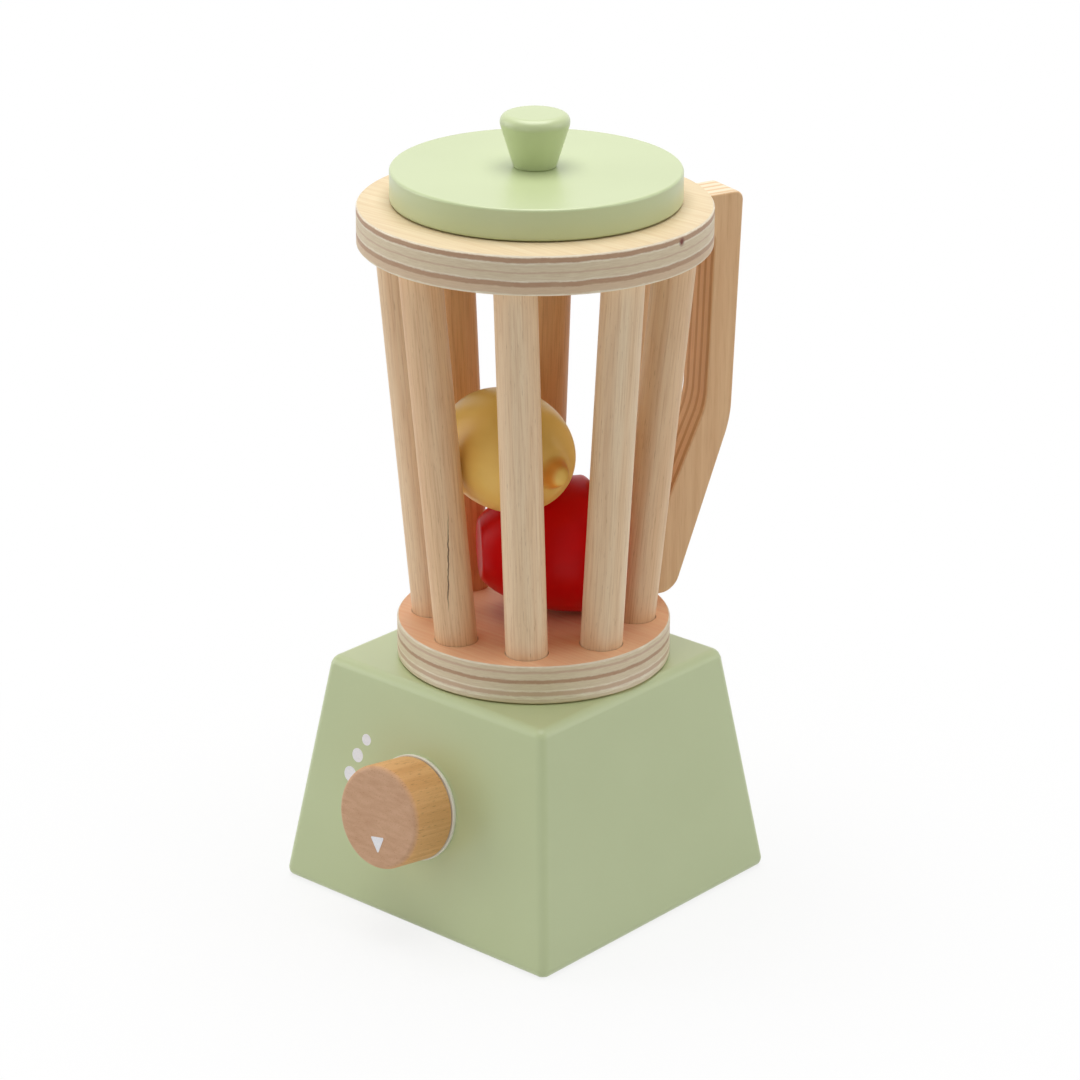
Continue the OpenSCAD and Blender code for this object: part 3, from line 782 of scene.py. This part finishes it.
at_lid = Matrix.Translation((lid_centre.x, lid_centre.y, lid_low.z))
at_screw = at_lid @ Matrix.Translation((screw_off * math.cos(screw_off_turn),
                                        screw_off * math.sin(screw_off_turn), 0))
lid_outline = [(0, 0, 0), (lid_r, 0, lid_edge_r), (lid_r, lid_t, lid_edge_r), (0, lid_t, 0)]
plug_outline = [(0, 0, 0), (plug_r, 0, edge_break), (plug_r, plug_t, edge_break), (0, plug_t, 0)]
for name, node, outline, low, steps in (("lid_round", "lid", lid_outline, 0, 192),
                                        ("lid_plug_round", "lid_plug", plug_outline, -plug_t, 128)):
    screw_hole = bmesh.new()
    rod(screw_hole, screw_hole_r * MM, 4 * lid_t * MM, at_screw)
    bmesh.ops.create_cone(screw_hole, cap_ends=True, segments=64, radius1=screw_head_r * MM,
                          radius2=screw_hole_r * MM, depth=screw_head_h * MM,
                          matrix=at_screw @ Matrix.Translation((0, 0, (screw_head_h / 2 - plug_t) * MM)))
    round_mesh = turned(name, outline, at_lid @ Matrix.Translation((0, 0, low * MM)), steps=steps)
    finish(name, drilled(round_mesh, screw_hole), sage, "lid", [node])
wear(steel, "lid_screw")


# ---- Lid knob ----
# Turned from wood, widening upwards from its foot to a softly rolled top, and painted like
# the lid.

lid_knob_h = 15.4
lid_knob_foot_r = 6.1
lid_knob_head_r = 10.85
lid_knob_roll_r = 2.65
lid_knob_bore_l = 10.3

lid_knob_outline = [(0, lid_knob_bore_l, 0), (screw_hole_r, lid_knob_bore_l, 0), (screw_hole_r, 0, 0),
                    (lid_knob_foot_r, 0, edge_break), (lid_knob_head_r, lid_knob_h, lid_knob_roll_r),
                    (0, lid_knob_h, 0)]
at_lid_knob = at_screw @ Matrix.Translation((0, 0, lid_t * MM))
finish("lid_knob_turned", turned("lid_knob_turned", lid_knob_outline, at_lid_knob, steps=96), sage,
       "lid", ["lid_knob"])


# ---- Strawberry ----
# Play fruit turned from solid wood: a broad rounded crown that tapers to a blunt tip, dipped
# in glossy red lacquer. It lies loose on the disc.

berry_r = 20.0
berry_taper = 34.2
berry_crown = 6.4
berry_crown_from = 26
berry_tip_to = 154
berry_tip_edge_r = 2
berry_off = 15.2
berry_lean = math.radians(59)
berry_turn = math.radians(228.5)
berry_dip = math.radians(1)
seat_gap = 0.3


def lacquer(name, place, deep, bright, size, roughness, specular, ring=None):
    """Lacquer that varies a little in thickness and, where given a colour for it, has a darker ring
    round the end that points along the piece's Z axis: partly lacquer that has run together there,
    partly painted shade at the foot of that end's nub."""
    made, tree, shader = new_finish(name, roughness, specular)
    where = own_axes(tree, place)
    pooled = levels(tree, speckle(tree, where, size, detail=3.0), 0.3, 0.7)
    film = mixed(tree, pooled, deep, bright)
    if ring:
        flat = step(tree, "VectorMath", {0: where, 1: (1, 1, 0)}, operation="MULTIPLY").outputs[0]
        out = step(tree, "VectorMath", {0: flat}, operation="LENGTH").outputs["Value"]
        along = step(tree, "SeparateXYZ", {0: where}).outputs[2]
        inner_side = levels(tree, out, 2.2 * MM, 3.2 * MM)
        outer_side = levels(tree, out, 5.2 * MM, 3.8 * MM)
        one_end = levels(tree, along, 0, 1 * MM)
        # The ring is partly pooled lacquer and partly painted shade at the nub's foot.
        film = mixed(tree, maths(tree, "MULTIPLY", inner_side, outer_side, one_end), film, ring)
    tree.links.new(film, shader.inputs["Base Color"])
    relief(tree, shader, speckle(tree, where, 5 * MM), 0.06 * MM)
    return made


def lying(height, off, lean, turn, dip):
    """Places a fruit whose Z axis lies level, or dips, at a distance from the jug's axis."""
    beside = Vector((off * math.cos(lean), off * math.sin(lean), 0)) * MM
    return (at_jug(height) @ Matrix.Translation(beside) @ Matrix.Rotation(turn, 4, "Z")
            @ Matrix.Rotation(quarter + dip, 4, "Y"))


berry_place = lying(disc_top + (seat_gap + berry_r) * MM, berry_off, berry_lean, berry_turn, berry_dip)
berry_outline = []
for degrees in range(berry_crown_from, berry_tip_to + 1, 4):
    angle = math.radians(degrees)
    half_l = berry_crown if degrees < 90 else berry_taper
    rounding = berry_tip_edge_r if degrees == berry_tip_to else 0
    berry_outline.append((berry_r * math.sin(angle), -half_l * math.cos(angle), rounding))
berry_outline = [(0, berry_outline[0][1], 0), *berry_outline, (0, berry_outline[-1][1], 0)]
red_lacquer = lacquer("red_lacquer", berry_place, tone(212, 6, 9), tone(226, 11, 14), 14 * MM, 0.34, 0.14)
finish("play_strawberry", turned("play_strawberry", berry_outline, berry_place), red_lacquer,
       "strawberry", ["strawberry"])


# ---- Lemon ----
# Play fruit turned from solid wood with a nub at each end, lacquered yellow. Round the large nub it
# is darker, partly where the lacquer has run together and partly as painted shade at the nub's foot.
# It lies loose on the strawberry.

lemon_r = 17.5
lemon_half = 23.0
nub_l = 4.0
nub_spread = 13
groove_depth = 0.3
groove_at = 17
groove_spread = 3.5
stem_l = 2.0
stem_spread = 10
lemon_turn = math.radians(-12)
lemon_dip = math.radians(1)
lemon_off = 10.2
lemon_lean = math.radians(261.6)
lemon_nestle = 4.4
lemon_z = disc_top + (seat_gap + 2 * berry_r + lemon_r - lemon_nestle) * MM

lemon_place = lying(lemon_z, lemon_off, lemon_lean, lemon_turn, lemon_dip)
fruit = bmesh.new()
bmesh.ops.create_uvsphere(fruit, u_segments=96, v_segments=96, radius=1.0)
for vert in fruit.verts:
    tilt = math.degrees(math.acos(max(-1.0, min(1.0, vert.co.z))))
    nub = nub_l * math.exp(-(tilt / nub_spread) ** 4)
    groove = groove_depth * math.exp(-((tilt - groove_at) / groove_spread) ** 2)
    stem = stem_l * math.exp(-((180 - tilt) / stem_spread) ** 2)
    length = vert.co.z * lemon_half + (nub - groove) - stem
    vert.co = Vector((vert.co.x * lemon_r, vert.co.y * lemon_r, length)) * MM
bmesh.ops.transform(fruit, matrix=lemon_place, verts=fruit.verts[:])
# The ring colour is a darker orange, partly painted shade at the nub's foot.
yellow_lacquer = lacquer("yellow_lacquer", lemon_place, tone(250, 204, 104), tone(255, 216, 120), 20 * MM,
                         0.36, 0.3, ring=tone(250, 170, 70))
finish("play_lemon", mesh_from(fruit, "play_lemon"), yellow_lacquer, "lemon", ["lemon"])


# ---- Floor, light and camera ----
# A plain white floor and world, one broad lamp overhead, two soft ones at the sides and a weak
# one low in front, and a camera where the photograph was taken from.


def seen_directly(tree):
    """1 for a ray from the camera, also by way of gloss or glass, else 0."""
    rays = step(tree, "LightPath", {}).outputs
    return maths(tree, "MAXIMUM", rays["Is Camera Ray"], rays["Is Glossy Ray"], rays["Is Transmission Ray"])


def floor_white():
    """White as the world where it is seen, with only the soft shadow near the toy left in it."""
    made, tree, shader = new_finish("floor_white", roughness=0.9, specular=0.1)
    seen = seen_directly(tree)
    lit_white = mixed(tree, seen, (0.75, 0.75, 0.75, 1), (0.95, 0.95, 0.95, 1))
    tree.links.new(lit_white, shader.inputs["Base Color"])
    where = step(tree, "TexCoord", {}).outputs["Object"]
    away = step(tree, "VectorMath", {0: where}, operation="LENGTH").outputs["Value"]
    glow = step(tree, "Emission", {"Color": (1, 1, 1, 1), "Strength": 1.0})
    share = maths(tree, "MULTIPLY", seen, levels(tree, away, 0.07, 0.22, 0.82, 1.0))
    blend = step(tree, "MixShader", {0: share, 1: shader.outputs[0], 2: glow.outputs[0]})
    tree.links.new(blend.outputs[0], tree.nodes["Material Output"].inputs["Surface"])
    return made


ground = bmesh.new()
bmesh.ops.create_grid(ground, x_segments=1, y_segments=1, size=6.0)
floor = bpy.data.objects.new("floor", mesh_from(ground, "floor"))
floor.data.materials.append(floor_white())
bpy.context.scene.collection.objects.link(floor)

world = bpy.data.worlds.new("studio")
world.use_nodes = True
bpy.context.scene.world = world
sky = world.node_tree
strength = levels(sky, seen_directly(sky), 0.0, 1.0, 0.22, 1.0)
sky.links.new(strength, sky.nodes["Background"].inputs["Strength"])
sky.nodes["Background"].inputs["Color"].default_value = (1, 1, 1, 1)

middle = Vector((0, 0, 0.11))


def softbox(name, away, size, power):
    """A square area lamp at a place away from the toy's middle, facing it."""
    lamp = bpy.data.lights.new(name, "AREA")
    lamp.shape = "SQUARE"
    lamp.size = size
    lamp.energy = power
    made = bpy.data.objects.new(name, lamp)
    made.location = middle + Vector(away)
    made.rotation_euler = Vector(away).to_track_quat("Z", "Y").to_euler()
    bpy.context.scene.collection.objects.link(made)


softbox("lamp_above", (-0.1, 0.1, 1.3), 1.1, 16.0)
softbox("lamp_left", (-1.15, -0.75, 0.35), 0.9, 4.6)
softbox("lamp_right", (1.1, 0.7, 0.4), 0.9, 3.3)
softbox("lamp_low", (0.25, -1.1, -0.02), 0.7, 1.7)

view_turn = math.radians(41.385)
view_rise = math.radians(21.684)
view_roll = math.radians(0.189)
view_away = 1.1278
look_at = Vector((0.0014, -0.00143, 0.10622))
photo_width = 1080
lens_pixels = 3885.3
shift_pixels = (12.83, 2.97)

back = Vector((math.sin(view_turn) * math.cos(view_rise), -math.cos(view_turn) * math.cos(view_rise),
               math.sin(view_rise)))
right = Vector((math.cos(view_turn), math.sin(view_turn), 0))
upright = back.cross(right)
rolled_right = right * math.cos(view_roll) + upright * math.sin(view_roll)
rolled_up = upright * math.cos(view_roll) - right * math.sin(view_roll)
eye = bpy.data.cameras.new("camera")
eye.sensor_width = 36.0
eye.lens = lens_pixels / photo_width * eye.sensor_width
eye.shift_x = shift_pixels[0] / photo_width
eye.shift_y = shift_pixels[1] / photo_width
eye.clip_end = 50.0
camera = bpy.data.objects.new("camera", eye)
axes = Matrix((rolled_right, rolled_up, back)).transposed().to_4x4()
camera.matrix_world = Matrix.Translation(look_at + back * view_away) @ axes
bpy.context.scene.collection.objects.link(camera)
bpy.context.scene.camera = camera
bpy.context.scene.view_settings.view_transform = "Standard"
